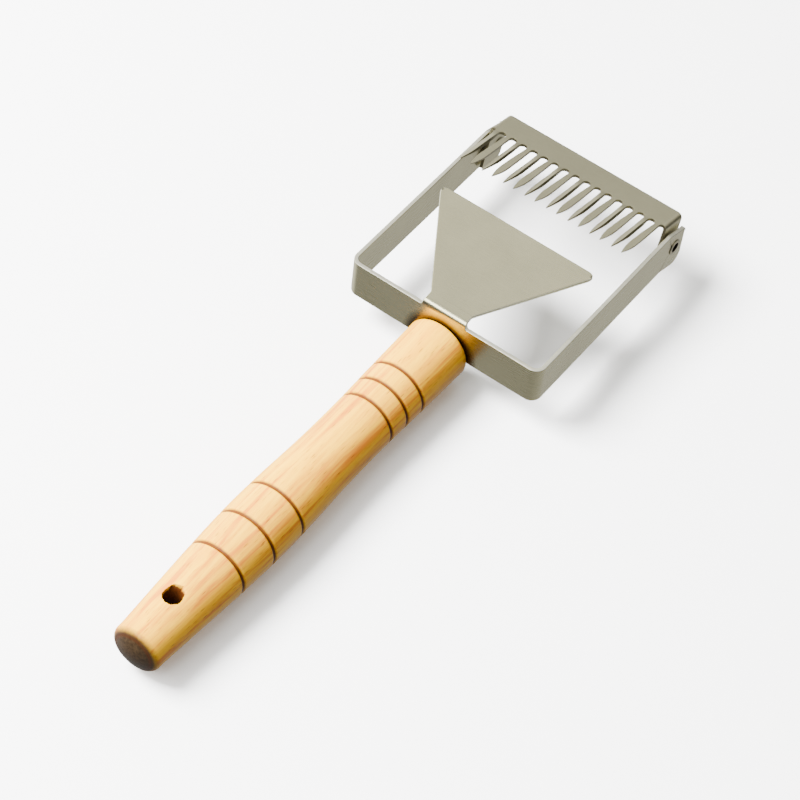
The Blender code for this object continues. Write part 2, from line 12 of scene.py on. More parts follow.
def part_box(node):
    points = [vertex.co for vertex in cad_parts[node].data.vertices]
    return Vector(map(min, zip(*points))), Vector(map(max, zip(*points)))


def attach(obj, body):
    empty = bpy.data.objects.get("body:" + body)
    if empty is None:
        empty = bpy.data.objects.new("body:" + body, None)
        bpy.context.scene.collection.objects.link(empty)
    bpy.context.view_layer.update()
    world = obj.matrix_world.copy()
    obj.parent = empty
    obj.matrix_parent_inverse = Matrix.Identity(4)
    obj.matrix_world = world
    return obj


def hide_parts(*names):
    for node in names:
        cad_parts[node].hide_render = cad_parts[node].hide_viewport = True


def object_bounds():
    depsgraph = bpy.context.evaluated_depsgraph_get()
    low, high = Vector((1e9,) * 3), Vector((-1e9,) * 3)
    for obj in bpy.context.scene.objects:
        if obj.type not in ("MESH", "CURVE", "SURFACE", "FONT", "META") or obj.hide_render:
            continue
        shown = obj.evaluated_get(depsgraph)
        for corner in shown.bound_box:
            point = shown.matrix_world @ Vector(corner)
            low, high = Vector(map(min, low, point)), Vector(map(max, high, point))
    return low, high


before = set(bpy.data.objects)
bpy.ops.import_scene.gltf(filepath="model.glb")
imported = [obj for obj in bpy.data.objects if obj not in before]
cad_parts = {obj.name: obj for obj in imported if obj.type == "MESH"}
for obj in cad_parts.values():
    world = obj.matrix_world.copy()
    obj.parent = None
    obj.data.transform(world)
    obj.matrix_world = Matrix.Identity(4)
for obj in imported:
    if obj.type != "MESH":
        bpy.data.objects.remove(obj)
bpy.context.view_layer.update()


# ---- Strap frame -------------------------------------------------------------------------
# One blank of 1.7 mm stainless sheet: a strap on edge that is bent back at both ends as the
# arms, a flared scraper plate folded back from its middle, and a small lug for the screw.
# Satin-rolled, pressed out, bent in a brake and lightly tumbled, so its edges are soft.
frame_low, frame_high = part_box("frame")
rivet_low, rivet_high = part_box("pivot_rivet_right")
pivot = Vector((0, (rivet_low.y + rivet_high.y) / 2, (rivet_low.z + rivet_high.z) / 2))
bar_y = frame_low.y                     # outer face of the bar
half_width = frame_high.x
arm_end = frame_high.y - bar_y          # lengths below run back from the bar's outer face
strap_height = 0.0172
pivot_height = 0.0077                   # of the pivot over the strap's lower edge
strap_bottom = pivot.z - pivot_height
strap_sheet = 0.0017
arm_bend = 0.0045                       # outer bend radii
neck_bend = 0.0029
ear_length = 0.0113
ear_drop = math.tan(math.radians(18))
heel_setback = 0.0036
ear_tip_setback = 0.0006
neck_half_width = 0.0102
neck_top_half_width = 0.0096
plate_half_width = 0.0364
plate_far = 0.0478
plate_far_height = 0.0252
neck_taper = 0.0001
root_rise = 0.0022                      # from the bend to where the plate flares
lug_half_width = 0.0095
sharp_corner = 0.0006                   # corner radii of the blank
lug_corner = 0.0050
heel_corner = 0.0060
ear_tip_corner = 0.0050
ear_top_corner = 0.0040
neck_corner = 0.0020
root_corner = 0.0010
plate_corner = 0.0023
corner_steps = 9
hole_steps = 56
arm_bend_steps = 16
strap_edge = 0.00035
sliver = 0.00006
lug_bottom = frame_low.z - strap_bottom
screw_low, screw_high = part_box("handle_screw")
screw_height = (screw_low.z + screw_high.z) / 2 - strap_bottom
screw_hole_radius = 0.0023
rivet_hole_radius = 0.00255


def flat_blank(corners):
    """A flat polygon in the X-Z plane whose corners are (x, z, rounding radius)."""
    work = bmesh.new()
    verts = [work.verts.new((x, 0, z)) for x, z, radius in corners]
    work.faces.new(verts)
    for index, (x, z, radius) in enumerate(corners):
        if radius:
            here = Vector((x, z))
            back = Vector(corners[index - 1][:2]) - here
            ahead = Vector(corners[(index + 1) % len(corners)][:2]) - here
            bmesh.ops.bevel(work, geom=[verts[index]], affect="VERTICES",
                            offset=radius / math.tan(back.angle(ahead) / 2),
                            offset_type="OFFSET", segments=corner_steps, profile=0.5,
                            material=-1)
    bmesh.ops.delete(work, geom=work.faces[:], context="FACES_ONLY")
    return work


def punch(work, x, z, radius):
    """Adds a round hole's edge to a blank that isn't filled yet."""
    upright = Matrix.Rotation(math.pi / 2, 4, "X")
    bmesh.ops.create_circle(work, cap_ends=False, segments=hole_steps, radius=radius,
                            matrix=Matrix.Translation((x, 0, z)) @ upright)


def fill_blank(work):
    """Fills a blank between its edges, its face towards -Y."""
    bmesh.ops.triangle_fill(work, use_beauty=True, edges=work.edges[:], normal=(0, -1, 0))
    if sum(face.normal.y * face.calc_area() for face in work.faces) > 0:
        bmesh.ops.reverse_faces(work, faces=work.faces[:])


def crease(work, point, direction):
    """Cuts the blank along one line, so that it can bend there."""
    bmesh.ops.bisect_plane(work, geom=work.verts[:] + work.edges[:] + work.faces[:], dist=1e-7,
                           plane_co=point, plane_no=direction)


def mark_sheet(work):
    """Keeps each point's place on the flat sheet, in metres x 10, for grain that turns with it."""
    place = work.loops.layers.uv.new("sheet")
    for face in work.faces:
        for loop in face.loops:
            loop[place].uv = (loop.vert.co.x * 10, loop.vert.co.z * 10)


def bent(along, radius, turn):
    """(forward, aside) of a point `along` past the start of a bend that ends after `turn`."""
    angle = min(along / radius, turn)
    rest = along - angle * radius
    return (radius * math.sin(angle) + rest * math.cos(angle),
            radius * (1 - math.cos(angle)) + rest * math.sin(angle))


neck_turn = math.pi / 2
for settle in range(12):
    plate_start = neck_bend * (1 - math.cos(neck_turn))
    plate_start_height = strap_height + neck_bend * math.sin(neck_turn)
    neck_turn = math.pi / 2 - math.atan2(plate_far_height - plate_start_height,
                                         plate_far - plate_start)
neck_arc = neck_bend * neck_turn
plate_run = (plate_far - plate_start) / math.sin(neck_turn)
arm_start = half_width - arm_bend
arm_arc = arm_bend * math.pi / 2
arm_flat = arm_start + arm_arc - arm_bend   # blank x of a point is this plus its distance back
heel = arm_flat + arm_end - ear_length - heel_setback
right = [
    (lug_half_width, lug_bottom, lug_corner), (lug_half_width, 0, sharp_corner),
    (heel, 0, heel_corner),
    (arm_flat + arm_end - ear_tip_setback, -(ear_length + heel_setback) * ear_drop,
     ear_tip_corner),
    (arm_flat + arm_end, strap_height - ear_length * ear_drop, sharp_corner),
    (arm_flat + arm_end - ear_length, strap_height, ear_top_corner),
    (neck_half_width, strap_height, sharp_corner),
    (neck_top_half_width, strap_height + neck_arc * 0.8, neck_corner),
    (neck_top_half_width - neck_taper, strap_height + neck_arc + root_rise, root_corner),
    (plate_half_width, strap_height + neck_arc + plate_run, plate_corner)]
work = flat_blank(right + [(-x, z, radius) for x, z, radius in reversed(right)])
punch(work, 0, screw_height, screw_hole_radius)
for side in (-1, 1):
    punch(work, side * (arm_flat + pivot.y - bar_y), pivot_height, rivet_hole_radius)
fill_blank(work)
for step in range(-1, arm_bend_steps + 2):      # and once just before and after the bend
    share = min(max(step / arm_bend_steps, -0.04), 1.04)
    for side in (-1, 1):
        crease(work, (side * (arm_start + arm_arc * share), 0, 0), (1, 0, 0))
    crease(work, (0, 0, strap_height + neck_arc * max(share, 0)), (0, 0, 1))
mark_sheet(work)
for vert in work.verts:
    x, z = vert.co.x, vert.co.z
    if z > strap_height + 1e-6:
        rise, back = bent(z - strap_height, neck_bend, neck_turn)
        vert.co.y, vert.co.z = back, strap_height + rise
    elif abs(x) > arm_start:
        outward, back = bent(abs(x) - arm_start, arm_bend, math.pi / 2)
        vert.co.x, vert.co.y = math.copysign(arm_start + outward, x), back
bmesh.ops.translate(work, verts=work.verts[:], vec=(0, bar_y, strap_bottom))


def sheet_piece(work, name, sheet, edge):
    """Gives a folded sheet its thickness on the inner side, and tumbled edges."""
    bmesh.ops.remove_doubles(work, verts=work.verts[:], dist=sliver)
    bmesh.ops.dissolve_degenerate(work, dist=sliver / 3, edges=work.edges[:])
    mesh = bpy.data.meshes.new(name)
    work.to_mesh(mesh)
    work.free()
    mesh.shade_smooth()
    piece = bpy.data.objects.new(name, mesh)
    bpy.context.scene.collection.objects.link(piece)
    wall = piece.modifiers.new("sheet", "SOLIDIFY")
    wall.thickness = sheet
    wall.offset = -1
    wall.use_even_offset = True
    wall.use_quality_normals = True
    rounding = piece.modifiers.new("tumbled", "BEVEL")
    rounding.width = edge
    rounding.segments = 3
    rounding.limit_method = "ANGLE"
    rounding.angle_limit = math.radians(40)
    rounding.use_clamp_overlap = False
    rounding.harden_normals = True
    weighted = piece.modifiers.new("flats", "WEIGHTED_NORMAL")
    weighted.keep_sharp = True
    return piece


strap_frame = sheet_piece(work, "strap_frame", strap_sheet, strap_edge)


def add_node(tree, kind, inputs=None, **settings):
    """A shader node with its settings, and its sockets set to values or joined to others."""
    node = tree.nodes.new(kind)
    for name, value in settings.items():
        setattr(node, name, value)
    for key, value in (inputs or {}).items():
        if isinstance(value, bpy.types.NodeSocket):
            tree.links.new(value, node.inputs[key])
        else:
            node.inputs[key].default_value = value
    return node


def new_finish(name, **sockets):
    """A material with one Principled shader, whose plain values are set on its own sockets."""
    made = bpy.data.materials.new(name)
    made.use_nodes = True
    shader = made.node_tree.nodes["Principled BSDF"]
    for key, value in sockets.items():
        shader.inputs[key.replace("_", " ")].default_value = value
    return made, made.node_tree, shader


def graded(tree, value, low, high, to_low, to_high):
    """Carries a value's range from low..high to to_low..to_high, and stops there."""
    return add_node(tree, "ShaderNodeMapRange", {
        "Value": value, "From Min": low, "From Max": high,
        "To Min": to_low, "To Max": to_high}).outputs["Result"]


def mixed(tree, share, first, second, blend="MIX"):
    """The colour between two colours, or their product and so on."""
    mix = add_node(tree, "ShaderNodeMix", {0: share, 6: first, 7: second},
                   data_type="RGBA", blend_type=blend)
    return mix.outputs[2]


def satin_steel(name, color, grain_scale, roughness, lighter=1.12, darker=0.84):
    """Rolled and tumbled stainless: fine grain along the sheet, clouds and nicks."""
    made, tree, shader = new_finish(name, Metallic=1.0)
    on_sheet = add_node(tree, "ShaderNodeUVMap", uv_map="sheet").outputs["UV"]
    in_space = add_node(tree, "ShaderNodeTexCoord").outputs["Object"]
    run = add_node(tree, "ShaderNodeMapping", {"Vector": on_sheet, "Scale": grain_scale})
    grain = add_node(tree, "ShaderNodeTexNoise", {
        "Vector": run.outputs["Vector"], "Scale": 1.0, "Detail": 5.0, "Roughness": 0.65})
    clouds = add_node(tree, "ShaderNodeTexNoise", {
        "Vector": in_space, "Scale": 55.0, "Detail": 4.0, "Roughness": 0.6})
    speck = add_node(tree, "ShaderNodeTexNoise", {
        "Vector": in_space, "Scale": 2200.0, "Detail": 2.0, "Roughness": 0.7})
    pits = add_node(tree, "ShaderNodeTexVoronoi", {"Vector": in_space, "Scale": 420.0,
                                                   "Randomness": 1.0})
    pit = graded(tree, pits.outputs["Distance"], 0.02, 0.09, 1.0, 0.0)
    bright = tuple(min(1, channel * lighter) for channel in color) + (1,)
    dull = tuple(channel * darker for channel in color) + (1,)
    tone = add_node(tree, "ShaderNodeMath", {
        0: graded(tree, grain.outputs["Fac"], 0.3, 0.7, 0.0, 0.55),
        1: graded(tree, clouds.outputs["Fac"], 0.3, 0.7, 0.0, 0.45)}, operation="ADD")
    base = mixed(tree, tone.outputs[0], dull, bright)
    base = mixed(tree, graded(tree, speck.outputs["Fac"], 0.35, 0.65, 0.0, 0.16), base,
                 tuple(channel * 0.72 for channel in color) + (1,))
    base = mixed(tree, graded(tree, pit, 0.0, 1.0, 0.0, 0.22), base,
                 tuple(channel * 0.45 for channel in color) + (1,))
    tree.links.new(base, shader.inputs["Base Color"])
    rough = graded(tree, tone.outputs[0], 0.2, 0.9, roughness + 0.05, roughness - 0.05)
    tree.links.new(rough, shader.inputs["Roughness"])
    height = add_node(tree, "ShaderNodeMath", {
        0: grain.outputs["Fac"], 1: speck.outputs["Fac"]}, operation="ADD")
    bump = add_node(tree, "ShaderNodeBump", {
        "Strength": 0.14, "Distance": 0.00012, "Height": height.outputs[0]})
    dents = add_node(tree, "ShaderNodeBump", {
        "Strength": 0.10, "Distance": 0.0004, "Height": clouds.outputs["Fac"],
        "Normal": bump.outputs["Normal"]})
    tree.links.new(dents.outputs["Normal"], shader.inputs["Normal"])
    return made


frame_steel = satin_steel("satin_steel", (0.60, 0.57, 0.37), (14, 620, 1), 0.25)
handle_low, handle_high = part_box("handle")
seat_centre = (0, bar_y, (handle_low.z + handle_high.z) / 2)
painted_reflection_color = (0.055, 0.024, 0.005, 1)  # painted reflection: the handle's shaded wood mirrored in the bar, as a brown ring round the handle's seat
painted_reflection_full, painted_reflection_end = 0.0140, 0.0172
tree = frame_steel.node_tree
shader = tree.nodes["Principled BSDF"]
clean = shader.inputs["Base Color"].links[0].from_socket
place = add_node(tree, "ShaderNodeTexCoord").outputs["Object"]
from_seat = add_node(tree, "ShaderNodeVectorMath", {0: place, 1: seat_centre}, operation="SUBTRACT")
flattened = add_node(tree, "ShaderNodeVectorMath", {0: from_seat.outputs[0], 1: (1, 4, 1)},
                     operation="MULTIPLY")
distance = add_node(tree, "ShaderNodeVectorMath", {0: flattened.outputs[0]}, operation="LENGTH")
# Painted reflection of the handle in the bar: the steel is darkened to brown near the seat.
painted_reflection_share = graded(tree, distance.outputs["Value"], painted_reflection_full, painted_reflection_end, 0.88, 0.0)
tree.links.new(mixed(tree, painted_reflection_share, clean, painted_reflection_color), shader.inputs["Base Color"])
strap_frame.data.materials.append(frame_steel)
# The frame's cut edges get a lighter copy of the steel: painted highlight along the edges, over
# their ground steel.
strap_frame.data.materials.append(
    satin_steel("sheared_edge_painted_highlight", (0.88, 0.86, 0.70), (60, 60, 1), 0.45))
strap_frame.modifiers["sheet"].material_offset_rim = 1
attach(strap_frame, "frame")
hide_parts("frame")


# ---- Needle comb -------------------------------------------------------------------------
# Sixteen flat needles pressed out of one 1.3 mm stainless sheet, ground away underneath
# towards their points, with a tab folded down at each end that the rivets go through.
# The needles are set in turn: one is rolled over on its long axis, the next stays nearly flat.
comb_low, comb_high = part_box("needle_comb")
comb_sheet = 0.0013
comb_half_width = comb_high.x
comb_bend = 0.0022
comb_tilt = math.radians(13.4)
comb_edge = 0.00013
slots_from_arm_end = 0.0118
slots_height = 0.0218
tab_front_corner = 0.0015
tab_back_corner = 0.0040
ground_from = 0.60                      # share of its length where a needle starts to thin
point_sheet = 0.31                      # share of the sheet left at its point
comb_bend_steps = 12
slot_ends = Vector((0, bar_y + arm_end - slots_from_arm_end, strap_bottom + slots_height))
comb_back = 0.0126
tab_depth = 0.0212
needle_count = 16
needle_length = 0.0286
needle_root = 0.0019
needle_belly = 0.0027
belly_at = 0.68
shorter = 0.0006
set_down = 0.0004
rolled = math.radians(30)               # right edge up, on the first needle and every other one
counter_rolled = math.radians(-6)
roll_within = 0.35                      # share of its length in which a needle twists
needle_pitch = 2 * comb_half_width / (needle_count + 0.5)
slot_radius = (needle_pitch - needle_root) / 2
comb_flat = comb_half_width - comb_bend
comb_arc = comb_bend * math.pi / 2
tab_end = comb_flat + comb_arc + tab_depth - comb_bend


def needle_side(length):
    """(half width, distance from the slot ends) from a needle's root out to its point."""
    belly = length * belly_at
    points = []
    for step in range(1, 9):
        share = step / 8
        swell = (needle_belly - needle_root) / 2 * math.sin(share * math.pi / 2)
        points.append((needle_root / 2 + swell, slot_radius + (belly - slot_radius) * share))
    for step in range(1, 10):
        share = step / 10
        points.append((needle_belly / 2 * math.cos(share * math.pi / 2) ** 0.8,
                       belly + (length - belly) * share))
    return points + [(0, length)]


work = bmesh.new()
outline = [(tab_end, 0), (tab_end, comb_back), (-tab_end, comb_back), (-tab_end, 0)]
for slot in range(needle_count + 1):
    slot_x = (slot - needle_count / 2) * needle_pitch
    if slot:
        side = needle_side(needle_length - (shorter if slot % 2 else 0))
        middle = slot_x - needle_pitch / 2
        outline += [(middle - half, -far) for half, far in side]
        outline += [(middle + half, -far) for half, far in side[-2::-1]]
    arc = range(8 if slot == 0 else 0, 9 if slot == needle_count else 17)
    outline += [(slot_x - slot_radius * math.cos(math.pi * step / 16),
                 slot_radius * (math.sin(math.pi * step / 16) - 1)) for step in arc]
corners = [work.verts.new((x, 0, z)) for x, z in outline]
work.faces.new(corners)
tab_corners = (tab_front_corner, tab_back_corner, tab_back_corner, tab_front_corner)
for corner, radius in zip(corners[:4], tab_corners):
    bmesh.ops.bevel(work, geom=[corner], affect="VERTICES", offset=radius,
                    offset_type="OFFSET", segments=corner_steps, profile=0.5, material=-1)
bmesh.ops.delete(work, geom=work.faces[:], context="FACES_ONLY")
to_pivot = pivot - slot_ends
pivot_along = to_pivot.y * math.cos(comb_tilt) - to_pivot.z * math.sin(comb_tilt)
pivot_down = -to_pivot.y * math.sin(comb_tilt) - to_pivot.z * math.cos(comb_tilt)
for side in (-1, 1):
    punch(work, side * (comb_flat + comb_arc + pivot_down - comb_bend), pivot_along,
          rivet_hole_radius)
fill_blank(work)
for step in range(-1, comb_bend_steps + 2):
    share = min(max(step / comb_bend_steps, -0.05), 1.05)
    for side in (-1, 1):
        crease(work, (side * (comb_flat + comb_arc * share), 0, 0), (1, 0, 0))
mark_sheet(work)
for vert in work.verts:
    x, along = vert.co.x, vert.co.z
    outward, down = bent(max(abs(x) - comb_flat, 0), comb_bend, math.pi / 2)
    if abs(x) > comb_flat:
        x = math.copysign(comb_flat + outward, x)
    if along < -slot_radius:
        needle = round(x / needle_pitch + (needle_count - 1) / 2)
        share = (-along - slot_radius) / (needle_length - slot_radius)
        middle = (needle - (needle_count - 1) / 2) * needle_pitch
        twist = math.sin(min(share / roll_within, 1) * math.pi / 2)
        roll = twist * (counter_rolled if needle % 2 else rolled)
        down += (0 if needle % 2 else set_down * share ** 1.5) - (x - middle) * math.sin(roll)
        x = middle + (x - middle) * math.cos(roll)
    vert.co = (x, along, -down)
bmesh.ops.rotate(work, verts=work.verts[:], cent=(0, 0, 0),
                 matrix=Matrix.Rotation(-comb_tilt, 3, "X"))
bmesh.ops.translate(work, verts=work.verts[:], vec=slot_ends)
needle_comb = sheet_piece(work, "comb_of_needles", comb_sheet, comb_edge)
ground = needle_comb.vertex_groups.new(name="full_sheet")
tilted = Matrix.Rotation(comb_tilt, 3, "X")
for vert in needle_comb.data.vertices:
    out = -(tilted @ (vert.co - slot_ends)).y / needle_length
    ground.add([vert.index], 1 - min(max((out - ground_from) / (1 - ground_from), 0), 1),
               "REPLACE")
needle_comb.modifiers["sheet"].vertex_group = "full_sheet"
needle_comb.modifiers["sheet"].thickness_vertex_group = point_sheet
needle_comb.modifiers["sheet"].material_offset_rim = 1
needle_comb.data.materials.append(
    satin_steel("comb_steel", (0.59, 0.56, 0.37), (14, 620, 1), 0.33))
# The comb's cut walls get a dark copy of the steel: rough sheared steel, and painted shade in the
# slots between the needles.
needle_comb.data.materials.append(
    satin_steel("sheared_wall_painted_shade", (0.27, 0.25, 0.16), (60, 60, 1), 0.42))
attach(needle_comb, "comb")
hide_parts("needle_comb")


# ---- Hollow rivets -----------------------------------------------------------------------
# A short steel tube through each arm and tab, its ends rolled over both faces, so that the
# comb swings on it. Nickel-bright lips, with a dark line where they meet the sheet, and painted
# shade inside the bore.
rivet_bore = 0.00208
lip_radius = 0.00335
lip_sheet = 0.0003
bore_chamfer = 0.00012
tube_clearance = 0.00015


def turned_piece(name, profile, axis_point, axis, steps, closed=True):
    """Spins (radius, distance) points round an axis, and joins where the turn closes."""
    work = bmesh.new()
    across = Vector((0, 0, 1)) if abs(axis.z) < 0.5 else Vector((1, 0, 0))
    verts = [work.verts.new(axis_point + across * radius + axis * along)
             for radius, along in profile]
    for first, second in zip(verts, verts[1:]):
        work.edges.new((first, second))
    if closed:
        work.edges.new((verts[-1], verts[0]))
    bmesh.ops.spin(work, geom=work.verts[:] + work.edges[:], cent=axis_point, axis=axis,
                   dvec=(0, 0, 0), angle=2 * math.pi, steps=steps, use_merge=True,
                   use_duplicate=False)
    bmesh.ops.remove_doubles(work, verts=work.verts[:], dist=1e-6)
    bmesh.ops.recalc_face_normals(work, faces=work.faces[:])
    mesh = bpy.data.meshes.new(name)
    work.to_mesh(mesh)
    work.free()
    mesh.shade_smooth()
    mesh.set_sharp_from_angle(angle=math.radians(38))
    piece = bpy.data.objects.new(name, mesh)
    bpy.context.scene.collection.objects.link(piece)
    return piece


def rolled_lip(outer, direction):
    """Half-round edge of a lip whose outer face is at `outer`, from the bore to the tube."""
    points = []
    for step in range(7):
        turn = math.pi * step / 6
        points.append((lip_radius - lip_sheet / 2 + lip_sheet / 2 * math.sin(turn),
                       outer - direction * lip_sheet / 2 * (1 - math.cos(turn))))
    return points


def bright_metal(name, color, roughness, spots):
    """Plated or polished small hardware: faint turning marks and handling spots."""
    made, tree, shader = new_finish(name, Metallic=1.0)
    in_space = add_node(tree, "ShaderNodeTexCoord").outputs["Object"]
    fine = add_node(tree, "ShaderNodeTexNoise", {
        "Vector": in_space, "Scale": 1800.0, "Detail": 3.0, "Roughness": 0.6})
    broad = add_node(tree, "ShaderNodeTexNoise", {
        "Vector": in_space, "Scale": 380.0, "Detail": 3.0, "Roughness": 0.55})
    grime = graded(tree, broad.outputs["Fac"], 0.45, 0.72, 0.0, spots)
    base = mixed(tree, grime, color + (1,), tuple(channel * 0.42 for channel in color) + (1,))
    base = mixed(tree, graded(tree, fine.outputs["Fac"], 0.4, 0.7, 0.0, 0.2), base,
                 tuple(channel * 0.7 for channel in color) + (1,))
    # Painted shade: the inside of a rivet's bore is coloured nearly black.
    bore_shade_share = add_node(tree, "ShaderNodeAttribute", attribute_name="painted_bore_shade").outputs["Fac"]
    base = mixed(tree, bore_shade_share, base, (0.020, 0.015, 0.010, 1))
    tree.links.new(base, shader.inputs["Base Color"])
    tree.links.new(graded(tree, broad.outputs["Fac"], 0.3, 0.7, roughness - 0.06,
                          roughness + 0.1), shader.inputs["Roughness"])
    bump = add_node(tree, "ShaderNodeBump", {
        "Strength": 0.12, "Distance": 0.0001, "Height": fine.outputs["Fac"]})
    tree.links.new(bump.outputs["Normal"], shader.inputs["Normal"])
    return made


rivet_metal = bright_metal("rivet_steel", (0.50, 0.47, 0.33), 0.34, 0.6)
for side, name in ((1, "right"), (-1, "left")):
    low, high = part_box("pivot_rivet_" + name)
    outer, inner = (high.x, low.x) if side > 0 else (-low.x, -high.x)
    tube = rivet_hole_radius - tube_clearance
    profile = [(rivet_bore + 0.0001, outer), *rolled_lip(outer, 1), (tube, outer - lip_sheet),
               (tube, inner + lip_sheet), *reversed(rolled_lip(inner, -1)),
               (rivet_bore + 0.0001, inner), (rivet_bore, inner + bore_chamfer),
               (rivet_bore, outer - bore_chamfer)]
    rivet = turned_piece("hollow_rivet_" + name, profile, pivot.copy(), Vector((side, 0, 0)), 56)
    # Marks the bore's wall for painted shade.
    painted_bore_shade = rivet.data.attributes.new("painted_bore_shade", "FLOAT", "POINT")
    for vert in rivet.data.vertices:
        off_axis = math.hypot(vert.co.y - pivot.y, vert.co.z - pivot.z)
        painted_bore_shade.data[vert.index].value = 1.0 if off_axis < rivet_bore + 0.00005 else 0.0
    rivet.data.materials.append(rivet_metal)
    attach(rivet, "frame")
    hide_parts("pivot_rivet_" + name)


# ---- Wooden handle -----------------------------------------------------------------------
# Turned from one piece of pale, open-pored hardwood: a slim grip that swells at the ball of
# the hand, two sets of three burnt-in V grooves, a domed butt and a hanging hole drilled
# across it, under a coat of clear gloss varnish.
handle_front = handle_high.y
handle_length = bar_y - handle_low.y
handle_axis = Vector((0, 0, (handle_low.z + handle_high.z) / 2))
handle_outline = ((0.00, 0.01310), (0.16, 0.01258), (0.26, 0.01212), (0.34, 0.01206),
                  (0.42, 0.01232), (0.52, 0.01302), (0.61, 0.01325), (0.70, 0.01278),
                  (0.80, 0.01185), (0.96, 0.01010))
body_end = handle_outline[-1][0]        # share of the length where the butt's rounding starts
grooves = (0.151, 0.203, 0.255, 0.556, 0.646, 0.739)
groove_depth = 0.0009
groove_half_width = 0.0010
butt_dome = 0.0015
butt_arris = 0.0030
bore_radius = 0.0023
bore_depth = 0.031
hang_hole_radius = 0.0035
hang_hole_y = handle_low.y + 0.0227


def handle_radius(share):
    """Radius at a share of the handle's length, on a smooth curve through its outline."""
    index = max(0, sum(start <= share for start, radius in handle_outline) - 1)
    index = min(index, len(handle_outline) - 2)
    before = handle_outline[max(index - 1, 0)]
    after = handle_outline[min(index + 2, len(handle_outline) - 1)]
    (x1, r1), (x2, r2) = handle_outline[index], handle_outline[index + 1]
    slope1 = (r2 - before[1]) / (x2 - before[0])
    slope2 = (after[1] - r1) / (after[0] - x1)
    t = (share - x1) / (x2 - x1)
    return ((2 * t ** 3 - 3 * t ** 2 + 1) * r1 + (t ** 3 - 2 * t ** 2 + t) * (x2 - x1) * slope1
            + (3 * t ** 2 - 2 * t ** 3) * r2 + (t ** 3 - t ** 2) * (x2 - x1) * slope2)


ring_count = 150
rings = [step / ring_count * body_end for step in range(1, ring_count + 1)]
rings = [share for share in rings
         if min(abs(share - cut) for cut in grooves) * handle_length > groove_half_width * 1.6]
for cut in grooves:
    rings += [cut + offset * groove_half_width / handle_length
              for offset in (-1.5, -1.0, -0.7, -0.4, -0.15, 0.15, 0.4, 0.7, 1.0, 1.5)]
profile = [(0, -bore_depth), (bore_radius, -bore_depth), (bore_radius, -0.0004)]
rim = handle_radius(0)
front = handle_front - bar_y
profile += [(bore_radius + 0.0002, front), (rim - 0.0009, front), (rim - 0.0006, front - 0.00006),
            (rim - 0.0002, front - 0.00035), (rim, front - 0.0009)]
for share in sorted(rings):
    away = min(abs(share - cut) for cut in grooves) * handle_length / groove_half_width
    cut_in = groove_depth * max(0, 1 - away) ** 0.8
    if share * handle_length > 0.0012:
        profile.append((handle_radius(share) - cut_in, -share * handle_length))
ring_y = -handle_length + butt_dome
arris_centre = handle_radius(body_end) - butt_arris
for step in range(1, 9):
    turn = math.radians(10 * step)
    profile.append((arris_centre + butt_arris * math.cos(turn),
                    ring_y + butt_arris * (1 - math.sin(turn))))
dome_edge = profile[-1][0]
for step in range(1, 9):
    share = step / 8
    profile.append((dome_edge * (1 - share), ring_y - butt_dome * (1 - (1 - share) ** 2)))
wooden_handle = turned_piece("wooden_handle", profile, Vector((0, bar_y, handle_axis.z)),
                             Vector((0, 1, 0)), 112, closed=False)
wooden_handle.data.shade_smooth()

drill = turned_piece("hang_hole_drill", [
    (0, 0.03), (hang_hole_radius * 1.9, 0.03), (hang_hole_radius * 1.25, 0.0112),
    (hang_hole_radius * 1.06, 0.0103), (hang_hole_radius, 0.0090), (hang_hole_radius, -0.0095),
    (hang_hole_radius * 1.10, -0.0110), (hang_hole_radius * 1.9, -0.03), (0, -0.03)],
    Vector((0, hang_hole_y, handle_axis.z)), Vector((0, 0, 1)), 40, closed=False)
for vert in drill.data.vertices:
    torn = noise.noise(vert.co * 900)
    spread = Vector((vert.co.x, vert.co.y - hang_hole_y, 0))
    if abs(vert.co.z - handle_axis.z) > 0.0092:
        vert.co += spread * (0.14 * torn)
        if vert.co.z > handle_axis.z and spread.y > 0:     # splinters torn out along the grain
            vert.co.y += 0.0011 * max(0, noise.noise(vert.co * 2100)) ** 0.5
hole = wooden_handle.modifiers.new("hang_hole", "BOOLEAN")
hole.operation = "DIFFERENCE"
hole.solver = "EXACT"
hole.object = drill
bpy.context.view_layer.update()
drilled = bpy.data.meshes.new_from_object(
    wooden_handle.evaluated_get(bpy.context.evaluated_depsgraph_get()))
wooden_handle.modifiers.clear()
wooden_handle.data = drilled
drilled.name = "wooden_handle"
bpy.data.objects.remove(drill)
drilled.shade_smooth()
drilled.set_sharp_from_angle(angle=math.radians(50))

# Heat from the burning wire darkens each groove and a little of the wood beside it. The
# hanging hole's wall is painted dark as painted shade in the hole, and a dark ring is painted round
# the butt's arris.
burn = drilled.attributes.new("burn", "FLOAT", "POINT")
painted_hole_shade = drilled.attributes.new("painted_hole_shade", "FLOAT", "POINT")
end_grain = drilled.attributes.new("end_grain", "FLOAT", "POINT")
arris = drilled.attributes.new("arris", "FLOAT", "POINT")
for vert in drilled.vertices:
    back = (bar_y - vert.co.y) / handle_length
    away = min(abs(back - cut) for cut in grooves) * handle_length / groove_half_width
    radius = math.hypot(vert.co.x, vert.co.z - handle_axis.z)
    across = math.hypot(vert.co.x, vert.co.y - hang_hole_y)
    inside = handle_radius(min(back, body_end)) - radius
    burn.data[vert.index].value = math.exp(-(away / 0.80) ** 2)
    in_hole = across < hang_hole_radius * 1.3 and inside > 0.0004
    painted_hole_shade.data[vert.index].value = 1.0 if in_hole else 0.0
    to_butt = vert.co.y - handle_low.y
    end_grain.data[vert.index].value = min(max((0.0042 - to_butt) / 0.0024, 0), 1)
    off_edge = (radius - dome_edge) / 0.0007
    arris.data[vert.index].value = math.exp(-off_edge ** 2) * (to_butt < butt_arris)


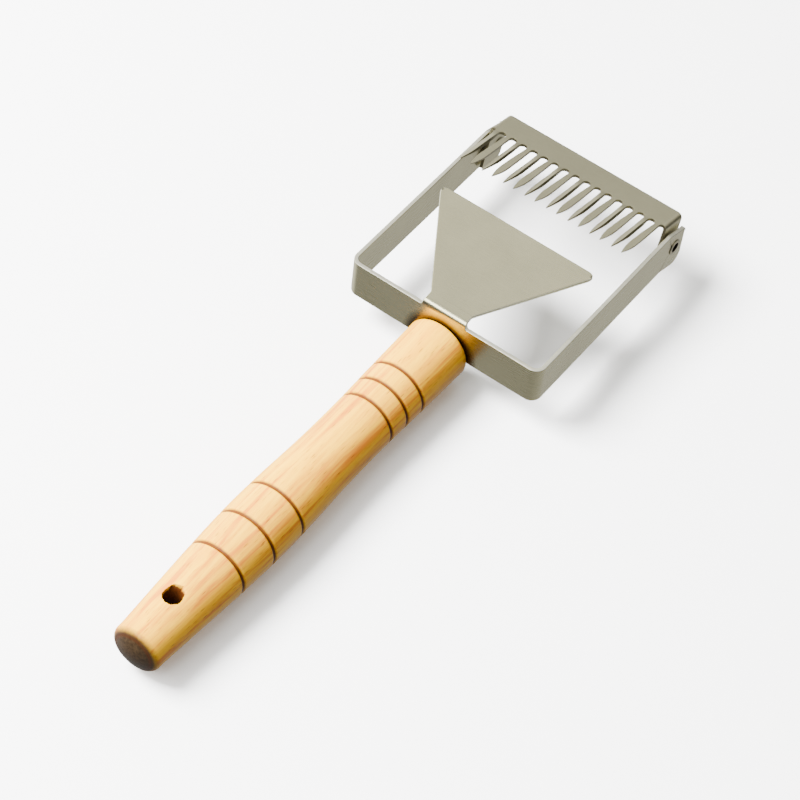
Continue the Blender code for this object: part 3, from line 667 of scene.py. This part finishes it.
def varnished_wood():
    """Pale hardwood along Y: broad tan figure, fine fibre, short dark pores, a gloss coat."""
    made, tree, shader = new_finish("varnished_wood", Metallic=0.0, Coat_Weight=0.10,
                                    Specular_IOR_Level=0.2, Coat_Roughness=0.20, Coat_IOR=1.5)
    in_space = add_node(tree, "ShaderNodeTexCoord").outputs["Object"]

    def stretched(scale):
        return add_node(tree, "ShaderNodeMapping", {
            "Vector": in_space, "Scale": scale}).outputs[0]

    figure = add_node(tree, "ShaderNodeTexNoise", {
        "Vector": stretched((150, 8, 150)), "Scale": 1.0, "Detail": 5.0, "Roughness": 0.6,
        "Distortion": 0.8})
    streak = add_node(tree, "ShaderNodeTexNoise", {
        "Vector": stretched((330, 13, 330)), "Scale": 1.0, "Detail": 4.0, "Roughness": 0.6,
        "Distortion": 0.4})
    rays = add_node(tree, "ShaderNodeTexNoise", {
        "Vector": stretched((620, 34, 620)), "Scale": 1.0, "Detail": 5.0, "Roughness": 0.65})
    fibre = add_node(tree, "ShaderNodeTexNoise", {
        "Vector": stretched((2600, 60, 2600)), "Scale": 1.0, "Detail": 3.0, "Roughness": 0.6})
    pores = add_node(tree, "ShaderNodeTexVoronoi", {
        "Vector": stretched((1500, 140, 1500)), "Scale": 1.0, "Randomness": 1.0})
    pore = graded(tree, pores.outputs["Distance"], 0.10, 0.26, 1.0, 0.0)
    pore_zone = graded(tree, rays.outputs["Fac"], 0.42, 0.62, 0.0, 1.0)
    pore = add_node(tree, "ShaderNodeMath", {0: pore, 1: pore_zone},
                    operation="MULTIPLY").outputs[0]
    honey = (0.740, 0.350, 0.002, 1)
    tan = (0.560, 0.200, 0.001, 1)
    pale = (0.860, 0.480, 0.004, 1)
    base = mixed(tree, graded(tree, figure.outputs["Fac"], 0.44, 0.62, 0.0, 0.8), honey, tan)
    base = mixed(tree, graded(tree, rays.outputs["Fac"], 0.40, 0.60, 0.6, 0.0), base, pale)
    base = mixed(tree, graded(tree, streak.outputs["Fac"], 0.52, 0.64, 0.0, 0.85), base,
                 (0.520, 0.140, 0.006, 1))
    base = mixed(tree, graded(tree, fibre.outputs["Fac"], 0.45, 0.72, 0.0, 0.25), base,
                 (0.500, 0.190, 0.004, 1))
    base = mixed(tree, graded(tree, pore, 0.0, 1.0, 0.0, 0.85), base, (0.120, 0.035, 0.008, 1))
    burnt = add_node(tree, "ShaderNodeAttribute", attribute_name="burn").outputs["Fac"]
    wall = add_node(tree, "ShaderNodeAttribute", attribute_name="painted_hole_shade").outputs["Fac"]
    butt = add_node(tree, "ShaderNodeAttribute", attribute_name="end_grain").outputs["Fac"]
    end_rings = add_node(tree, "ShaderNodeTexNoise", {
        "Vector": stretched((900, 900, 900)), "Scale": 1.0, "Detail": 4.0, "Roughness": 0.7})
    end_wood = mixed(tree, graded(tree, end_rings.outputs["Fac"], 0.35, 0.65, 0.0, 1.0),
                     (0.016, 0.009, 0.004, 1), (0.038, 0.023, 0.011, 1))
    base = mixed(tree, butt, base, end_wood)
    # A dark ring painted round the butt's arris.
    ring = add_node(tree, "ShaderNodeAttribute", attribute_name="arris").outputs["Fac"]
    base = mixed(tree, graded(tree, ring, 0.1, 1.0, 0.0, 0.8), base, (0.040, 0.012, 0.003, 1))
    # Painted shade inside the hanging hole.
    base = mixed(tree, wall, base, (0.050, 0.014, 0.003, 1))
    base = mixed(tree, graded(tree, burnt, 0.10, 0.70, 0.0, 0.96), base, (0.070, 0.015, 0.002, 1))
    tree.links.new(base, shader.inputs["Base Color"])
    rough = graded(tree, fibre.outputs["Fac"], 0.3, 0.7, 0.34, 0.48)
    tree.links.new(rough, shader.inputs["Roughness"])
    relief = add_node(tree, "ShaderNodeMath", {0: fibre.outputs["Fac"], 1: pore},
                      operation="SUBTRACT").outputs[0]
    bump = add_node(tree, "ShaderNodeBump", {
        "Strength": 0.22, "Distance": 0.00016, "Height": relief})
    swell = add_node(tree, "ShaderNodeBump", {
        "Strength": 0.15, "Distance": 0.0004, "Height": rays.outputs["Fac"],
        "Normal": bump.outputs["Normal"]})
    tree.links.new(swell.outputs["Normal"], shader.inputs["Normal"])
    coat = add_node(tree, "ShaderNodeBump", {
        "Strength": 0.10, "Distance": 0.0003, "Height": rays.outputs["Fac"]})
    tree.links.new(coat.outputs["Normal"], shader.inputs["Coat Normal"])
    return made


wooden_handle.data.materials.clear()
wooden_handle.data.materials.append(varnished_wood())
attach(wooden_handle, "frame")
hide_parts("handle")


# ---- Screw and washer --------------------------------------------------------------------
# A round-head wood screw goes through the bar's lug into the handle's end grain, over a flat
# steel washer that spreads its pull. Zinc-bright, with a cross recess for the driver.
washer_low, washer_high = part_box("screw_washer")
screw_centre = Vector((0, bar_y, (screw_low.z + screw_high.z) / 2))
washer_near, washer_far = washer_low.y - bar_y, washer_high.y - bar_y
washer_radius = washer_high.x
washer_bore = 0.0023
head_seat = washer_far + 0.0003
head_top = screw_high.y - bar_y
head_radius = screw_high.x
shank_radius = 0.0020
screw_tip = screw_low.y - bar_y
neck_end = -0.004                       # the thread starts this far behind the bar's face
thread_pitch, thread_depth = 0.0015, 0.0004
recess_width, recess_length, recess_depth = 0.0008, 0.0040, 0.0011
soft = 0.0001

screw_metal = bright_metal("screw_steel", (0.68, 0.68, 0.66), 0.26, 0.35)
washer = turned_piece("flat_washer", [
    (washer_bore + soft, washer_far), (washer_radius - soft, washer_far),
    (washer_radius, washer_far - soft), (washer_radius, washer_near + soft),
    (washer_radius - soft, washer_near), (washer_bore + soft, washer_near),
    (washer_bore, washer_near + soft), (washer_bore, washer_far - soft)],
    screw_centre, Vector((0, 1, 0)), 56)
washer.data.materials.append(screw_metal)
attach(washer, "frame")
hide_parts("screw_washer")

head_height = head_top - head_seat
rim_height = head_height * 0.25
profile = [(head_radius * math.sin(math.radians(9 * step)),
            head_seat + rim_height + (head_height - rim_height) * math.cos(math.radians(9 * step)))
           for step in range(11)]
profile += [(head_radius, head_seat + soft), (head_radius - soft, head_seat),
            (shank_radius, head_seat), (shank_radius, neck_end)]
for turn in range(int((neck_end - screw_tip - 0.004) / thread_pitch)):
    start = neck_end - turn * thread_pitch
    profile += [(shank_radius - thread_depth, start - thread_pitch * 0.4),
                (shank_radius, start - thread_pitch)]
profile += [(shank_radius * 0.8, screw_tip + 0.003), (0, screw_tip)]
wood_screw = turned_piece("wood_screw", profile, screw_centre, Vector((0, 1, 0)), 48,
                          closed=False)
for size in ((recess_width, recess_depth * 2, recess_length),
             (recess_length, recess_depth * 2, recess_width)):
    work = bmesh.new()
    bmesh.ops.create_cube(work, size=1)
    bmesh.ops.scale(work, verts=work.verts[:], vec=size)
    bmesh.ops.translate(work, verts=work.verts[:], vec=screw_centre + Vector((0, head_top, 0)))
    blade_mesh = bpy.data.meshes.new("driver_blade")
    work.to_mesh(blade_mesh)
    work.free()
    blade = bpy.data.objects.new("driver_blade", blade_mesh)
    bpy.context.scene.collection.objects.link(blade)
    recess = wood_screw.modifiers.new("recess", "BOOLEAN")
    recess.operation = "DIFFERENCE"
    recess.solver = "EXACT"
    recess.object = blade
    bpy.context.view_layer.update()
    cut_mesh = bpy.data.meshes.new_from_object(
        wood_screw.evaluated_get(bpy.context.evaluated_depsgraph_get()))
    wood_screw.modifiers.clear()
    wood_screw.data = cut_mesh
    bpy.data.objects.remove(blade)
wood_screw.data.shade_smooth()
wood_screw.data.set_sharp_from_angle(angle=math.radians(38))
wood_screw.data.materials.clear()
wood_screw.data.materials.append(screw_metal)
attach(wood_screw, "frame")
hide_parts("handle_screw")


# ---- Floor, light and camera -------------------------------------------------------------
# The knife lies on a pale sweep. A grey room stands around it, dark towards the front, so that
# the satin steel has something to mirror; a broad box lights the wood and the sweep from the
# left, and a wide one in front puts the bright line along the neck's bend.
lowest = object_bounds()[0]
work = bmesh.new()
bmesh.ops.create_grid(work, x_segments=1, y_segments=1, size=6.0,
                      matrix=Matrix.Translation((0, 0, lowest.z - 0.0002)))
floor_mesh = bpy.data.meshes.new("floor")
work.to_mesh(floor_mesh)
work.free()
floor = bpy.data.objects.new("floor", floor_mesh)
bpy.context.scene.collection.objects.link(floor)
floor_paint, floor_tree, floor_shader = new_finish("floor_paper", Roughness=0.9)
floor_shader.inputs["Base Color"].default_value = (0.93, 0.93, 0.93, 1)
floor_mesh.materials.append(floor_paint)
floor.visible_glossy = False
floor.visible_diffuse = False

world = bpy.data.worlds.new("studio")
bpy.context.scene.world = world
world.use_nodes = True
room = world.node_tree
toward = add_node(room, "ShaderNodeSeparateXYZ", {
    "Vector": add_node(room, "ShaderNodeTexCoord").outputs["Generated"]})
ceiling = graded(room, toward.outputs["Z"], -0.2, 0.75, 0.55, 1.10)
depth = graded(room, toward.outputs["Y"], -0.7, 0.5, 0.72, 1.25)
level = add_node(room, "ShaderNodeMath", {0: ceiling, 1: depth}, operation="MULTIPLY")
over_floor = graded(room, toward.outputs["Z"], -0.50, -0.22, 0.0, 1.0)
under_box = graded(room, toward.outputs["Z"], 0.42, 0.24, 0.0, 1.0)
off_left = graded(room, toward.outputs["X"], -0.75, -0.35, 0.0, 1.0)
dark = add_node(room, "ShaderNodeMath", {0: over_floor, 1: under_box}, operation="MULTIPLY")
dark = add_node(room, "ShaderNodeMath", {0: dark.outputs[0], 1: off_left}, operation="MULTIPLY")
kept = graded(room, dark.outputs[0], 0.0, 1.0, 1.0, 0.06)
level = add_node(room, "ShaderNodeMath", {0: level.outputs[0], 1: kept}, operation="MULTIPLY")
glow = graded(room, toward.outputs["X"], -0.50, -0.85, 0.0, 1.8)
level = add_node(room, "ShaderNodeMath", {0: level.outputs[0], 1: glow}, operation="ADD")
room.links.new(level.outputs[0], room.nodes["Background"].inputs["Strength"])
room.nodes["Background"].inputs["Color"].default_value = (1.0, 0.99, 0.96, 1)


def soft_box(name, place, aim, width, height, power, mirrored=True):
    """A rectangular studio light at `place` that faces `aim`."""
    light = bpy.data.lights.new(name, "AREA")
    light.shape = "RECTANGLE"
    light.size, light.size_y = width, height
    light.energy = power
    lamp = bpy.data.objects.new(name, light)
    lamp.location = place
    lamp.rotation_euler = (Vector(aim) - Vector(place)).to_track_quat("-Z", "Y").to_euler()
    lamp.visible_glossy = mirrored
    bpy.context.scene.collection.objects.link(lamp)


soft_box("broad_box", (-0.80, -0.35, 1.10), (0, 0, 0), 0.7, 0.7, 180, mirrored=False)
soft_box("front_box", (-0.30, -1.00, 1.00), (0, 0.04, 0), 0.95, 0.72, 24)

camera_data = bpy.data.cameras.new("camera")
camera_data.lens = 139.5
camera_data.sensor_width = 36
camera_data.clip_start, camera_data.clip_end = 0.05, 50
camera = bpy.data.objects.new("camera", camera_data)
camera.location = (0.372286, -0.617134, 0.875130)
camera.rotation_euler = [math.radians(angle) for angle in (39.2294, -4.7984, 36.2695)]
bpy.context.scene.collection.objects.link(camera)
bpy.context.scene.camera = camera
